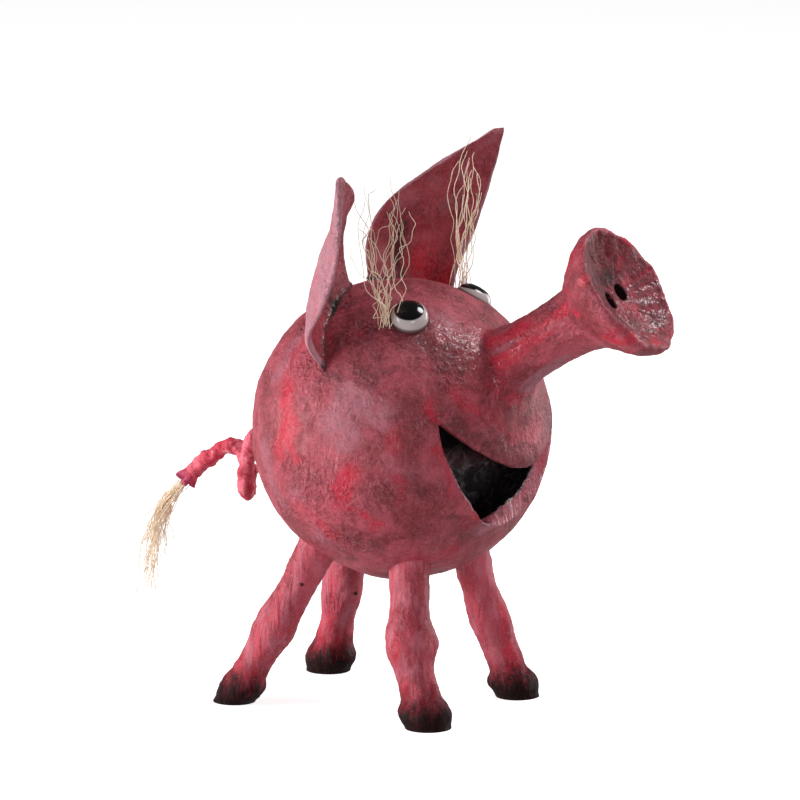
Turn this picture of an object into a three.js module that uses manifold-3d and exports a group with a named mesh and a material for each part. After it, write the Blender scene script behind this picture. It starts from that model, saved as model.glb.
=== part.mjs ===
// A hand-painted papier-mache pig: a hollow ball of a body with a trumpet snout and an open mouth,
// standing on four hooved legs, with cupped ears, a curled tail, glossy eyes and tufts of straw fibre.
// Millimetres, +X towards the snout, +Y to the pig's left, +Z up.
// Places are measured from the ball's centre until the whole figure is moved at the end.
import * as THREE from "three";
import { mergeVertices } from "three/addons/utils/BufferGeometryUtils.js";
import Module from "manifold-3d";

const wasm = await Module();
wasm.setup();

// Ball
const BALL_RADIUS = 75;
const WALL = 8;
const BALL_HEIGHT = 140.5; // from the floor to the ball's centre
const FIT_GAP = 0.3; // between glued pieces
const SLIVER = 0.02; // shorter edges are closed up
const BALL_DETAIL = 8;
const HOLLOW_DETAIL = 5;
const BALL_TURN = { x: 0.2, z: 0.3 }; // keeps the facets from lining up with the mouth

// Mouth, as angles seen from the ball's centre
const MOUTH_TURN = -3; // the mouth sits a little to the pig's right
const MOUTH_HALF_WIDTH = 41.5;
const MOUTH_CORNER = 14.5;
const UPPER_LIP = -9;
const LOWER_LIP = -34.5;
const UPPER_LIP_POWER = 1.6;
const LOWER_LIP_POWER = 0.7;
const LOWER_LIP_BEVEL = 4; // the lip slopes up towards the inside
const MUZZLE_SWELL = 1.2; // how far the ball swells round the mouth
const MUZZLE_REACH = 34;
const MOUTH_STEPS = 14;
const MOUTH_END = 0.995; // leaves the corners a little round
const MOUTH_CUT_WALLS = [2, 1, 0, -1, -4]; // sections of the cut, in walls inwards from the ball's surface

// Snout, along its axis from the ball's centre: [distance, radius]
const SNOUT_ELEVATION = 33;
const SNOUT_PROFILE = [
  [64, 19],
  [74, 18.6],
  [86, 16.4],
  [102, 15.6],
  [116, 16],
  [129, 18.4],
  [140, 26.8],
  [147, 32.2],
  [154.5, 35.2],
];
const SNOUT_DISH = [
  [157.5, 33.8],
  [155.8, 30.4],
  [151.6, 21],
  [149.2, 10],
];
const SNOUT_DISH_CENTRE = 148.7;
const SNOUT_BEND_START = 102; // from here the snout turns towards its face
const SNOUT_FACE_TILT = 2; // the face looks a little up and to the left of the snout's axis
const SNOUT_FACE_YAW = 4;
const SNOUT_FACE_NARROWING = 0.95;
const SNOUT_SIDES = 24;
const SNOUT_STEPS = 18;
const NOSTRIL_RADIUS = 4.2;
const NOSTRIL_SPACING = 13.8;
const NOSTRIL_ROLL = 11; // the left nostril sits higher than the right one
const NOSTRIL_DEPTH = 12;
const NOSTRIL_SIDES = 11;

// Ears: two edges from the ball to the tip, with a sheet that bows backwards between them.
// Both ears are given on the left side, and the right one leans further forwards and bows less.
const EARS = {
  left: {
    inner: [[-25, 8, 69], [-28, 11, 90], [-22, 17, 108.5], [-8, 32.5, 123.5], [11, 70, 142]],
    outer: [[-4, 62, 35], [-12, 69.5, 55], [-7.5, 67, 70], [1, 69.5, 91], [7.5, 73, 115], [14, 75, 142]],
    bow: 9,
  },
  right: {
    inner: [[-25, 8, 69], [-28, 11, 90], [-22, 17, 108.5], [-8, 32.5, 123], [7.5, 70, 141]],
    outer: [[-4, 62, 35], [-12, 69.5, 55], [-6.5, 67, 70], [3, 69.5, 91], [8, 72.5, 115], [9.5, 75, 141]],
    bow: 8.2,
  },
};
const EAR_BOW_FADE = 0.5; // the share of the bow that is lost towards the tip
const EAR_BOW_DIRECTION = [-0.85, 0.52, 0];
const EAR_THICKNESS = 4;
const EAR_EDGE_THICKNESS = 2.4;
const EAR_STEPS_ACROSS = 7;
const EAR_STEPS_UP = 14;

// Legs, each shaped by hand: its centre line, its thickness against the others and the size of its knee
const FOOT = -BALL_HEIGHT;
const LEGS = {
  front_right: { route: [[22, -29, -57], [28.7, -38, -98], [41.2, -42, FOOT]], girth: 1.06, knob: 1.16 },
  front_left: { route: [[20, 28, -57], [26.5, 38, -98], [42.3, 42, FOOT]], girth: 1, knob: 1 },
  hind_right: { route: [[-27, -33, -54], [-53.5, -40, -106], [-73, -42, FOOT]], girth: 0.97, knob: 1.05 },
  hind_left: { route: [[-46.5, 29, -46], [-59.3, 37, -103], [-69.5, 42, FOOT]], girth: 1.02, knob: 0.94 },
};
// The radius down a leg, from hip to sole: [share of the length, radius]
const LEG_RADII = [
  [0, 10.5],
  [0.14, 9.4],
  [0.32, 9],
  [0.52, 10.6],
  [0.7, 8.7],
  [0.81, 9.4],
  [0.92, 12.4],
  [1, 11],
];
const LEG_STEPS = 13;
const LEG_SIDES = 14;
const HOOF_SHARE = 0.7; // from here down the sections turn level with the floor
const KNEE_SHARE = 0.52;
const KNEE_REACH = 0.14;

// Tail: one loop of paper rope behind the ball
const TAIL_ROUTE = [
  [-70, 0, -4],
  [-81.5, -2, -9],
  [-86.2, -4.5, -19],
  [-88.8, -5, -31],
  [-90.3, -3, -41.5],
  [-92.2, 1, -43.5],
  [-93.8, 4.5, -39],
  [-94.3, 5, -30],
  [-97.8, 4.5, -22.7],
  [-105.5, 3, -22.2],
  [-114.5, 1.5, -28.3],
  [-122, 0.5, -35],
  [-128, 0, -41],
];
const TAIL_RADIUS = 4.1;
const TAIL_LUMP = 0.35;
const TAIL_LUMP_WAVES = [60, 23];
const TAIL_STEPS = 36;
const TAIL_SIDES = 8;

// Eyes: turned beads set on the ball
const EYE_PLACE = [23.5, 31, 64.5];
const EYE_PROFILE = [
  [9.5, 74],
  [9.4, 76],
  [8.3, 79.2],
  [6.9, 80.6],
  [4, 81.9],
];
const EYE_TOP = 82.4;
const EYE_SUNK = 4; // how deep a bead reaches before the ball is cut from it
const EYE_SIDES = 20;
const EYE_STEPS = 6;

// Tufts of straw fibre: brows rise from beside the eyes, and a tassel hangs from the tail
const FIBRE_RADIUS = 0.6;
const FIBRE_SIDES = 4;
const FIBRE_STEPS = 6;
const FIBRE_TAPER = 0.4;
const FIBRE_KNOTS = [0, 0.35, 0.7, 1]; // shares of the length at which a fibre is placed
const FIBRES = 7;
const GOLDEN_SHARE = 0.618;
const TUFT_KNOT_RADIUS = 2.2;
const BROW_HEIGHT = 74;
const BROW_LEAST_SPREAD = 0.35;
const BROW_LEAST_HEIGHT = 0.7;
const BROW_WAVE = 2.5;
const BROW_WAVE_TURNS = [5, 2.4]; // along a fibre, and from one fibre to the next
// Both brows are given on the left side: the root, how far the fibres spread and how their middle leans.
const BROWS = {
  left: { root: [9.5, 41, 62.5], spread: 11, lean: [5, 0, 0] },
  right: { root: [14.5, 40.5, 61], spread: 18, lean: [-2, 1, 0] },
};
const TASSEL_ROUTE = [
  [-129.9, 0, -42.6],
  [-142, 0, -58],
  [-148, 0, -77],
  [-150.5, 0, -102],
];
const TASSEL_SPREAD = 8;
const TASSEL_LEAST_SPREAD = 0.3;
const TASSEL_LEAST_LENGTH = 0.75;

const PAINT = {
  body: { color: 0xb2606d, roughness: 0.55 },
  ear: { color: 0x9c4550, roughness: 0.55 },
  leg: { color: 0xa84f5c, roughness: 0.55 },
  tail: { color: 0xd24a5e, roughness: 0.7 },
  eye: { color: 0xe4dedb, roughness: 0.15 },
  fibre: { color: 0xd8bd94, roughness: 0.8 },
};

// Ball surface at which glued pieces end
const seat = solid(ballGeometry(BALL_RADIUS + FIT_GAP, BALL_DETAIL));

function vector([x, y, z]) {
  return new THREE.Vector3(x, y, z);
}

// The same place on one side of the pig, +1 left and -1 right.
function onSide([x, y, z], side) {
  return new THREE.Vector3(x, y * side, z);
}

function spline(points) {
  return new THREE.CatmullRomCurve3(points, false, "centripetal");
}

// A point on a sphere, from its azimuth left of the snout and its elevation, in degrees.
function spherical(azimuth, elevation, radius) {
  const turn = THREE.MathUtils.degToRad(azimuth);
  const rise = THREE.MathUtils.degToRad(elevation);
  const level = radius * Math.cos(rise);
  return new THREE.Vector3(level * Math.cos(turn), level * Math.sin(turn), radius * Math.sin(rise));
}

// A smooth value at `share` from rows of [share, value].
function smoothValue(rows, share) {
  const last = rows.length - 2;
  const found = rows.findIndex((row, i) => i <= last && share <= rows[i + 1][0]);
  const i = found < 0 ? last : found;
  const [from, a] = rows[i];
  const [to, b] = rows[i + 1];
  return a + (b - a) * THREE.MathUtils.smoothstep(share, from, to);
}

// A closed geometry through rings of equal count, capped at both ends.
function loft(rings) {
  const count = rings[0].length;
  const centre = (ring) => ring.reduce((sum, p) => sum.add(p), new THREE.Vector3()).divideScalar(count);
  const points = [...rings.flat(), centre(rings[0]), centre(rings.at(-1))];
  const first = rings.length * count;
  const lastRing = (rings.length - 1) * count;
  const index = [];
  for (let j = 0; j < count; j++) {
    const k = (j + 1) % count;
    for (let i = 0; i < lastRing; i += count) {
      index.push(i + j, i + k, i + count + k, i + j, i + count + k, i + count + j);
    }
    index.push(first, k, j);
    index.push(first + 1, lastRing + j, lastRing + k);
  }
  return new THREE.BufferGeometry().setFromPoints(points).setIndex(index);
}

// A closed geometry as a solid that can be joined and cut.
function solid(geometry) {
  const bare = new THREE.BufferGeometry();
  bare.setAttribute("position", geometry.getAttribute("position"));
  bare.setIndex(geometry.getIndex());
  const merged = mergeVertices(bare, 1e-3);
  const made = new wasm.Manifold(
    new wasm.Mesh({
      numProp: 3,
      vertProperties: new Float32Array(merged.getAttribute("position").array),
      triVerts: new Uint32Array(merged.getIndex().array),
    }),
  );
  if (made.volume() < 0) throw new Error("a geometry faces inwards");
  return made;
}

// A named mesh of a solid, in one paint, without the slivers that a cut leaves.
function piece(name, made, paint) {
  const { vertProperties, triVerts } = made.getMesh();
  const cut = new THREE.BufferGeometry();
  cut.setAttribute("position", new THREE.BufferAttribute(vertProperties, 3));
  cut.setIndex(new THREE.BufferAttribute(triVerts, 1));
  const geometry = mergeVertices(cut, SLIVER);
  const corners = [...geometry.getIndex().array];
  const kept = [];
  for (let i = 0; i < corners.length; i += 3) {
    const triangle = corners.slice(i, i + 3);
    if (new Set(triangle).size === 3) kept.push(...triangle);
  }
  geometry.setIndex(kept);
  geometry.computeVertexNormals();
  const mesh = new THREE.Mesh(geometry, new THREE.MeshStandardMaterial({ metalness: 0, ...paint }));
  mesh.name = name;
  return mesh;
}

// A ball of even facets.
function ballGeometry(radius, detail) {
  return new THREE.IcosahedronGeometry(radius, detail).rotateZ(BALL_TURN.z).rotateX(BALL_TURN.x);
}

// The ball, swollen a little round the mouth.
function outerBall() {
  const geometry = ballGeometry(BALL_RADIUS, BALL_DETAIL);
  const position = geometry.getAttribute("position");
  const mouth = spherical(MOUTH_TURN, (UPPER_LIP + LOWER_LIP) / 2, 1);
  const reach = THREE.MathUtils.degToRad(MUZZLE_REACH);
  for (let i = 0; i < position.count; i++) {
    const p = new THREE.Vector3().fromBufferAttribute(position, i);
    p.setLength(BALL_RADIUS + MUZZLE_SWELL * Math.exp(-((p.angleTo(mouth) / reach) ** 2)));
    position.setXYZ(i, p.x, p.y, p.z);
  }
  return solid(geometry);
}

// Elevation of each lip at `share` of the mouth's half width, from -1 to 1.
function upperLip(share) {
  return UPPER_LIP + (MOUTH_CORNER - UPPER_LIP) * Math.abs(share) ** UPPER_LIP_POWER;
}

function lowerLip(share) {
  return MOUTH_CORNER - (MOUTH_CORNER - LOWER_LIP) * (1 - share * share) ** LOWER_LIP_POWER;
}

// The open mouth, cut outwards from the hollow.
function mouthCut() {
  const shares = [];
  for (let i = 0; i <= MOUTH_STEPS; i++) shares.push(-MOUTH_END * Math.cos((Math.PI * i) / MOUTH_STEPS));
  const ring = (wallsIn) => {
    const radius = BALL_RADIUS - wallsIn * WALL;
    const bevel = LOWER_LIP_BEVEL * wallsIn;
    const lower = shares.map((share) => [share, lowerLip(share) + bevel * (1 - share * share)]);
    const upper = shares.map((share) => [share, upperLip(share)]).reverse();
    const azimuth = (share) => MOUTH_TURN + share * MOUTH_HALF_WIDTH;
    return [...lower, ...upper].map(([share, rise]) => spherical(azimuth(share), rise, radius));
  };
  return solid(loft(MOUTH_CUT_WALLS.map(ring)));
}

// The snout is made along +Y, with +X above it and +Z to its left, and then turned into place.
const snoutAxis = spherical(0, SNOUT_ELEVATION, 1);
const left = new THREE.Vector3(0, 1, 0);
const snoutTurn = new THREE.Matrix4().makeBasis(snoutAxis.clone().cross(left), snoutAxis, left);

// Turns the snout's face up and to the left, without turning its tube.
function turnSnoutFace(p) {
  const face = new THREE.Vector3(0, SNOUT_PROFILE.at(-1)[0], 0);
  const share = THREE.MathUtils.smoothstep(p.y, SNOUT_BEND_START, SNOUT_PROFILE.at(-1)[0]);
  const tilt = THREE.MathUtils.degToRad(SNOUT_FACE_TILT) * share;
  const yaw = THREE.MathUtils.degToRad(SNOUT_FACE_YAW) * share;
  p.z *= 1 - (1 - SNOUT_FACE_NARROWING) * share;
  p.sub(face).applyEuler(new THREE.Euler(yaw, 0, -tilt)).add(face);
  return p.applyMatrix4(snoutTurn);
}

function bendSnout(geometry) {
  const position = geometry.getAttribute("position");
  for (let i = 0; i < position.count; i++) {
    const p = turnSnoutFace(new THREE.Vector3().fromBufferAttribute(position, i));
    position.setXYZ(i, p.x, p.y, p.z);
  }
  return geometry;
}

function snout() {
  const rows = [...SNOUT_PROFILE, ...SNOUT_DISH];
  const knots = rows.map(([along, radius]) => new THREE.Vector2(radius, along));
  const outline = new THREE.SplineCurve(knots).getPoints(SNOUT_STEPS);
  const profile = [
    new THREE.Vector2(0, SNOUT_PROFILE[0][0]),
    ...outline,
    new THREE.Vector2(0, SNOUT_DISH_CENTRE),
  ];
  return solid(bendSnout(new THREE.LatheGeometry(profile, SNOUT_SIDES)));
}

function nostril(side) {
  const height = 2 * NOSTRIL_DEPTH;
  const geometry = new THREE.CylinderGeometry(NOSTRIL_RADIUS, NOSTRIL_RADIUS, height, NOSTRIL_SIDES);
  const roll = THREE.MathUtils.degToRad(NOSTRIL_ROLL);
  const out = (side * NOSTRIL_SPACING) / 2;
  geometry.translate(out * Math.sin(roll), SNOUT_DISH_CENTRE, out * Math.cos(roll));
  return solid(bendSnout(geometry));
}

function body() {
  const hollow = solid(ballGeometry(BALL_RADIUS - WALL, HOLLOW_DETAIL));
  return outerBall()
    .add(snout())
    .subtract(hollow)
    .subtract(mouthCut())
    .subtract(nostril(1))
    .subtract(nostril(-1));
}

// A cupped sheet with a rounded rim.
function ear(name, side) {
  const shape = EARS[name];
  const inner = spline(shape.inner.map((p) => onSide(p, side)));
  const outer = spline(shape.outer.map((p) => onSide(p, side)));
  const back = onSide(EAR_BOW_DIRECTION, side);
  const rings = [];
  for (let i = 0; i <= EAR_STEPS_UP; i++) {
    const up = i / EAR_STEPS_UP;
    const from = outer.getPointAt(up);
    const to = inner.getPointAt(up);
    const bow = shape.bow * Math.sin(Math.PI * up) * (1 - EAR_BOW_FADE * up);
    const front = [];
    const behind = [];
    for (let j = 0; j <= EAR_STEPS_ACROSS; j++) {
      const across = j / EAR_STEPS_ACROSS;
      const hump = 4 * across * (1 - across);
      const half = THREE.MathUtils.lerp(EAR_EDGE_THICKNESS, EAR_THICKNESS, hump) / 2;
      const middle = from.clone().lerp(to, across).addScaledVector(back, bow * hump);
      front.push(middle.clone().addScaledVector(back, -half));
      behind.unshift(middle.clone().addScaledVector(back, half));
    }
    rings.push(side < 0 ? [...front, ...behind] : [...front, ...behind].reverse());
  }
  return solid(loft(rings)).subtract(seat);
}

// A ring across `normal`, with its first point towards the snout.
function ringAcross(centre, normal, radius, sides) {
  const ahead = new THREE.Vector3(1, 0, 0).projectOnPlane(normal).normalize();
  const aside = new THREE.Vector3().crossVectors(normal, ahead).normalize();
  return Array.from({ length: sides }, (_, j) => {
    const turn = (2 * Math.PI * j) / sides;
    return centre
      .clone()
      .addScaledVector(ahead, radius * Math.cos(turn))
      .addScaledVector(aside, radius * Math.sin(turn));
  });
}

// A leg with a knee, flaring into a hoof with a flat sole.
function leg({ route, girth, knob }) {
  const line = spline(route.map(vector));
  const down = new THREE.Vector3(0, 0, -1);
  const rings = [];
  for (let i = 0; i <= LEG_STEPS; i++) {
    const share = i / LEG_STEPS;
    const level = THREE.MathUtils.smoothstep(share, HOOF_SHARE, 1);
    const normal = line.getTangentAt(share).lerp(down, level).normalize();
    const swell = 1 + (knob - 1) * Math.exp(-(((share - KNEE_SHARE) / KNEE_REACH) ** 2));
    const radius = smoothValue(LEG_RADII, share) * girth * swell;
    rings.push(ringAcross(line.getPointAt(share), normal, radius, LEG_SIDES));
  }
  return solid(loft(rings)).subtract(seat);
}

// Rings along a curve, carried without twist.
function ringsAlong(curve, steps, sides, radiusAt) {
  const frames = curve.computeFrenetFrames(steps, false);
  return Array.from({ length: steps + 1 }, (_, i) => {
    const centre = curve.getPointAt(i / steps);
    const radius = radiusAt(i / steps);
    return Array.from({ length: sides }, (_, j) => {
      const turn = (2 * Math.PI * j) / sides;
      return centre
        .clone()
        .addScaledVector(frames.normals[i], radius * Math.cos(turn))
        .addScaledVector(frames.binormals[i], radius * Math.sin(turn));
    });
  });
}

function tail() {
  const route = spline(TAIL_ROUTE.map(vector));
  const [fine, broad] = TAIL_LUMP_WAVES;
  const lumpy = (share) => TAIL_RADIUS + TAIL_LUMP * Math.sin(fine * share) * Math.sin(broad * share + 1);
  return solid(loft(ringsAlong(route, TAIL_STEPS, TAIL_SIDES, lumpy))).subtract(seat);
}

function eye(side) {
  const knots = EYE_PROFILE.map(([radius, along]) => new THREE.Vector2(radius, along));
  const outline = new THREE.SplineCurve(knots).getPoints(EYE_STEPS);
  const bottom = EYE_PROFILE[0][1] - EYE_SUNK;
  const profile = [new THREE.Vector2(0, bottom), ...outline, new THREE.Vector2(0, EYE_TOP)];
  const geometry = new THREE.LatheGeometry(profile, EYE_SIDES);
  const outwards = onSide(EYE_PLACE, side).normalize();
  geometry.applyQuaternion(new THREE.Quaternion().setFromUnitVectors(new THREE.Vector3(0, 1, 0), outwards));
  return solid(geometry).subtract(seat);
}

// A number from 0 to 1 that scatters evenly as `i` counts up.
function scatter(i, offset) {
  return (i * GOLDEN_SHARE + offset) % 1;
}

// One thin fibre through a few points.
function fibre(points) {
  const taper = (share) => FIBRE_RADIUS * (1 - FIBRE_TAPER * share);
  return solid(loft(ringsAlong(spline(points), FIBRE_STEPS, FIBRE_SIDES, taper)));
}

// Fibres that grow from one glued knot.
function bunch(root, fibres) {
  const knot = new THREE.IcosahedronGeometry(TUFT_KNOT_RADIUS, 1).translate(root.x, root.y, root.z);
  return fibres.reduce((sum, points) => sum.add(fibre(points)), solid(knot));
}

function browTuft(name, side) {
  const shape = BROWS[name];
  const root = onSide(shape.root, side).setLength(BALL_RADIUS + TUFT_KNOT_RADIUS / 2);
  const fibres = Array.from({ length: FIBRES }, (_, i) => {
    const turn = 2 * Math.PI * scatter(i, 0.1);
    const out = shape.spread * THREE.MathUtils.lerp(BROW_LEAST_SPREAD, 1, scatter(2 * i, 0.3));
    const height = BROW_HEIGHT * THREE.MathUtils.lerp(BROW_LEAST_HEIGHT, 1, scatter(3 * i, 0.9));
    const lean = onSide(shape.lean, side);
    return FIBRE_KNOTS.map((share) => {
      const phase = BROW_WAVE_TURNS[0] * share + BROW_WAVE_TURNS[1] * i;
      const wave = share === 0 ? 0 : BROW_WAVE * Math.sin(phase);
      return root
        .clone()
        .addScaledVector(lean, share)
        .add(new THREE.Vector3(
          out * share * Math.cos(turn) - wave * Math.sin(turn),
          out * share * Math.sin(turn) + wave * Math.cos(turn),
          height * share,
        ));
    });
  });
  return bunch(root, fibres).subtract(seat);
}

function tailTassel() {
  const route = TASSEL_ROUTE.map(vector);
  const fibres = Array.from({ length: FIBRES }, (_, i) => {
    const turn = 2 * Math.PI * scatter(i, 0.4);
    const length = THREE.MathUtils.lerp(TASSEL_LEAST_LENGTH, 1, scatter(3 * i, 0.2));
    const spread = TASSEL_SPREAD * THREE.MathUtils.lerp(TASSEL_LEAST_SPREAD, 1, scatter(2 * i, 0.6));
    const middle = spline(route);
    return FIBRE_KNOTS.map((share) => {
      const out = spread * share;
      const offset = new THREE.Vector3(out * Math.cos(turn), out * Math.sin(turn), 0);
      return middle.getPoint(share * length).add(offset);
    });
  });
  return bunch(route[0], fibres);
}

const pig = new THREE.Group();
pig.add(piece("body", body(), PAINT.body));
for (const [name, side] of [["left", 1], ["right", -1]]) {
  pig.add(piece(`ear_${name}`, ear(name, side), PAINT.ear));
  pig.add(piece(`eye_${name}`, eye(side), PAINT.eye));
  pig.add(piece(`brow_tuft_${name}`, browTuft(name, side), PAINT.fibre));
}
for (const [name, shape] of Object.entries(LEGS)) pig.add(piece(`leg_${name}`, leg(shape), PAINT.leg));
pig.add(piece("tail", tail(), PAINT.tail));
pig.add(piece("tail_tassel", tailTassel(), PAINT.fibre));

// The soles stand on z = 0, under the middle of the figure's box.
const box = new THREE.Box3().setFromObject(pig, true);
const middle = box.getCenter(new THREE.Vector3());
pig.position.set(-middle.x, -middle.y, -box.min.z);

const figure = new THREE.Group();
figure.add(pig);

export default figure;
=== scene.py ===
"""A hand-painted papier-mache pig on a white studio floor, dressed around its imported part."""

import itertools
import math

import bpy
import numpy as np
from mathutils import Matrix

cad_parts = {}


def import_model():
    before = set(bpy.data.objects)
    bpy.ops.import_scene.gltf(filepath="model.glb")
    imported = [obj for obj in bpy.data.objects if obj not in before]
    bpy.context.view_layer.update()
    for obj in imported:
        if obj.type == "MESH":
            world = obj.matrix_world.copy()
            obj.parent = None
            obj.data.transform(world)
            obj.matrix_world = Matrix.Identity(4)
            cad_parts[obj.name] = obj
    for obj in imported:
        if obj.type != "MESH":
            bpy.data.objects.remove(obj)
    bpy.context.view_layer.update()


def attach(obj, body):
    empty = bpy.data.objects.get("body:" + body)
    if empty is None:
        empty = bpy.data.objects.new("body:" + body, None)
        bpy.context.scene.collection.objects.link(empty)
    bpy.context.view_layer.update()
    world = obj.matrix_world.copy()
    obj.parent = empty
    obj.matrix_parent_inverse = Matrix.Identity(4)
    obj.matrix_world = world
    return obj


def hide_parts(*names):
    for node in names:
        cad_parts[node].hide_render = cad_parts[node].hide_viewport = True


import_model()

import openvdb
from mathutils import Vector

# Shapes are in millimetres from the ball's centre: +X towards the snout, +Y to the pig's left, +Z up.
BALL_CENTRE = np.array([2.682, 0.0, 140.5])
MM = 0.001
BALL_RADIUS = 75.0
WALL = 8.0
SUNK = 6.0  # how deep an ear reaches into the ball, before it is roughened

# The camera's own axes, and what it sees
AZIMUTH = math.radians(31.6)
ELEVATION = math.radians(12.1)
VIEW_RIGHT = np.array([math.cos(AZIMUTH), math.sin(AZIMUTH), 0.0])
VIEW_BACK = np.array([
    math.sin(AZIMUTH) * math.cos(ELEVATION),
    -math.cos(AZIMUTH) * math.cos(ELEVATION),
    math.sin(ELEVATION),
])
VIEW_UP = np.cross(VIEW_BACK, VIEW_RIGHT)
FRAME_WIDTH = 400.0
FRAME_MIDDLE = (-1.0, 14.0)  # right of and above the ball's centre
CAMERA_DISTANCE = 9000.0
SENSOR = 36.0

# Mouth, as angles seen from the ball's centre
MOUTH_TURN = -3.0
MOUTH_HALF_WIDTH = 41.5
MOUTH_CORNER = 14.5
MOUTH_END = 0.995
UPPER_LIP = -9.0
LOWER_LIP = -34.5
UPPER_LIP_POWER = 1.6
LOWER_LIP_POWER = 0.7
LOWER_LIP_BEVEL = 7.8
LOWER_LIP_UNDERCUT = 7.0  # on the pig's right the lip slopes the other way
MUZZLE_SWELL = 1.2
MUZZLE_REACH = 34.0
JAW_SET_BACK = 1.4
LIP_RIDGE = 1.2
LIP_RIDGE_WIDTH = 7.0

# Snout along its axis: distance from the ball's centre, radius
SNOUT_ELEVATION = 33.0
SNOUT_PROFILE = [
    (60, 19.5), (74, 18.6), (86, 16.4), (102, 15.6), (116, 16),
    (129, 18.4), (140, 26.8), (147, 32.2), (154.5, 35.2),
]
SNOUT_DISH = [(157.5, 33.8), (155.8, 30.4), (151.6, 21), (149.2, 10), (148.7, 0)]
SNOUT_FACE = 154.5
SNOUT_BEND_START = 102.0
SNOUT_FACE_TILT = 2.0
SNOUT_FACE_YAW = 4.0
SNOUT_FACE_NARROWING = 0.95
TOP_FILLET = 1.5  # above the snout, where it leaves the ball
LOW_FILLET = 6.5
SNOUT_TOP_SWELL = 0.04  # the bell is fuller above than below
SNOUT_RIM_CORNER = 2.9  # where the rim runs out to a corner, in radians from its top towards its left
NOSTRIL_RADIUS = 4.2
NOSTRIL_SPACING = 13.8
NOSTRIL_ROLL = math.radians(11.0)
NOSTRIL_BOTTOM = 136.7
NOSTRIL_SLIT = 1.5  # how much narrower the right one is

BODY_VOXEL = 1.25
BODY_KEPT_FACES = 0.66
BODY_LOW = np.array([-80.0, -80.0, -80.0])
BODY_HIGH = np.array([152.0, 80.0, 124.0])

# Each ear as drawn on the left side: its inner edge, its outer edge and how far it bows back between them
EARS = {
    "left": (
        [(-25, 8, 69), (-28, 11, 90), (-22, 17, 108.5), (-8, 32.5, 123.5), (11, 70, 142)],
        [(-4, 62, 35), (-12, 69.5, 55), (-7.5, 67, 70), (1, 69.5, 91), (7.5, 73, 115), (14, 75, 142)],
        9.0,
    ),
    "right": (
        [(-25, 8, 69), (-28, 11, 90), (-22, 17, 108.5), (-8, 32.5, 123), (7.5, 70, 141)],
        [(-4, 62, 35), (-12, 69.5, 55), (-6.5, 67, 70), (3, 69.5, 91), (8, 72.5, 115), (9.5, 75, 141)],
        8.2,
    ),
}
EAR_BOW_FADE = 0.5
EAR_BOW_DIRECTION = np.array([-0.85, 0.52, 0.0])
EAR_THICKNESS = 4.0
EAR_EDGE_THICKNESS = 2.4
EAR_TIP_START = 0.965  # from here up its tip is rounded off
EAR_ROLL = 0.3  # how much its outer edge is rolled over
EAR_BRUSHING = np.array([[1.0, 0.0, 0.0], [0.0, 0.35, -0.6], [0.0, 0.35, 0.6]])  # strokes run up and out
EAR_SHADE = {"left": 0.1, "right": 0.6}
EAR_LOW_SHADE = {"left": 0.0, "right": 0.7}

FOOT = -BALL_CENTRE[2]
# Each leg: its route down, its girth and how much its knee stands out
LEGS = {
    "front_right": ([(22, -29, -57), (28.7, -38, -98), (41.2, -42, FOOT)], 1.06, 1.16),
    "front_left": ([(20, 28, -57), (26.5, 38, -98), (42.3, 42, FOOT)], 1.0, 1.0),
    "hind_right": ([(-27, -33, -54), (-53.5, -40, -106), (-73, -42, FOOT)], 0.97, 1.05),
    "hind_left": ([(-46.5, 29, -46), (-59.3, 37, -103), (-69.5, 42, FOOT)], 1.02, 0.94),
}
# Share of the way down, radius
LEG_RADII = [
    (0, 10.5), (0.14, 9.4), (0.32, 9), (0.52, 10.6), (0.7, 8.7), (0.81, 9.4), (0.92, 12.4), (1, 11),
]
HOOF_SHARE = 0.7
KNEE_SHARE = 0.52
KNEE_REACH = 0.14
# Right of and above the ball's middle, as the camera sees them
NAIL_HOLES = {"hind_right": (-50.0, -78.0), "hind_left": (-23.5, -83.5)}
NAIL_EDGE = (1.3, 0.8)
LEG_SEED = 31
SEEDS_PER_LEG = 7

TAIL_ROUTE = [
    (-70, 0, -4), (-81.5, -2, -9), (-86.2, -4.5, -19), (-88.8, -5, -31), (-90.3, -3, -41.5),
    (-92.2, 1, -43.5), (-93.8, 4.5, -39), (-94.3, 5, -30), (-97.8, 4.5, -22.7), (-105.5, 3, -22.2),
    (-114.5, 1.5, -28.3), (-122, 0.5, -35), (-128, 0, -41),
]
TAIL_RADIUS = 4.1

EYE_PLACE = np.array([23.5, 31.0, 64.5])
# Radius, distance from the ball's centre
EYE_PROFILE = [(9.6, 72), (9.5, 74), (9.4, 76), (8.3, 79.2), (6.9, 80.6), (4, 81.9), (0, 82.4)]
PUPIL_RADIUS = 7.4
EYE_SINK = {"left": 1.8, "right": 0.0}  # how much deeper each is set than its solid
# Right of each eye's middle, as the camera sees it, and towards the camera
PUPIL_SHIFT = {"left": (-1.6, 0.5), "right": (-0.5, 0.0)}
PUPIL_BLUR = 0.15
# Where a thin ring of painted shade runs round each eye's foot, by the ball
BASE_SHADE_EDGE = (75.9, 74.8)  # from the ball's centre

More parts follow.
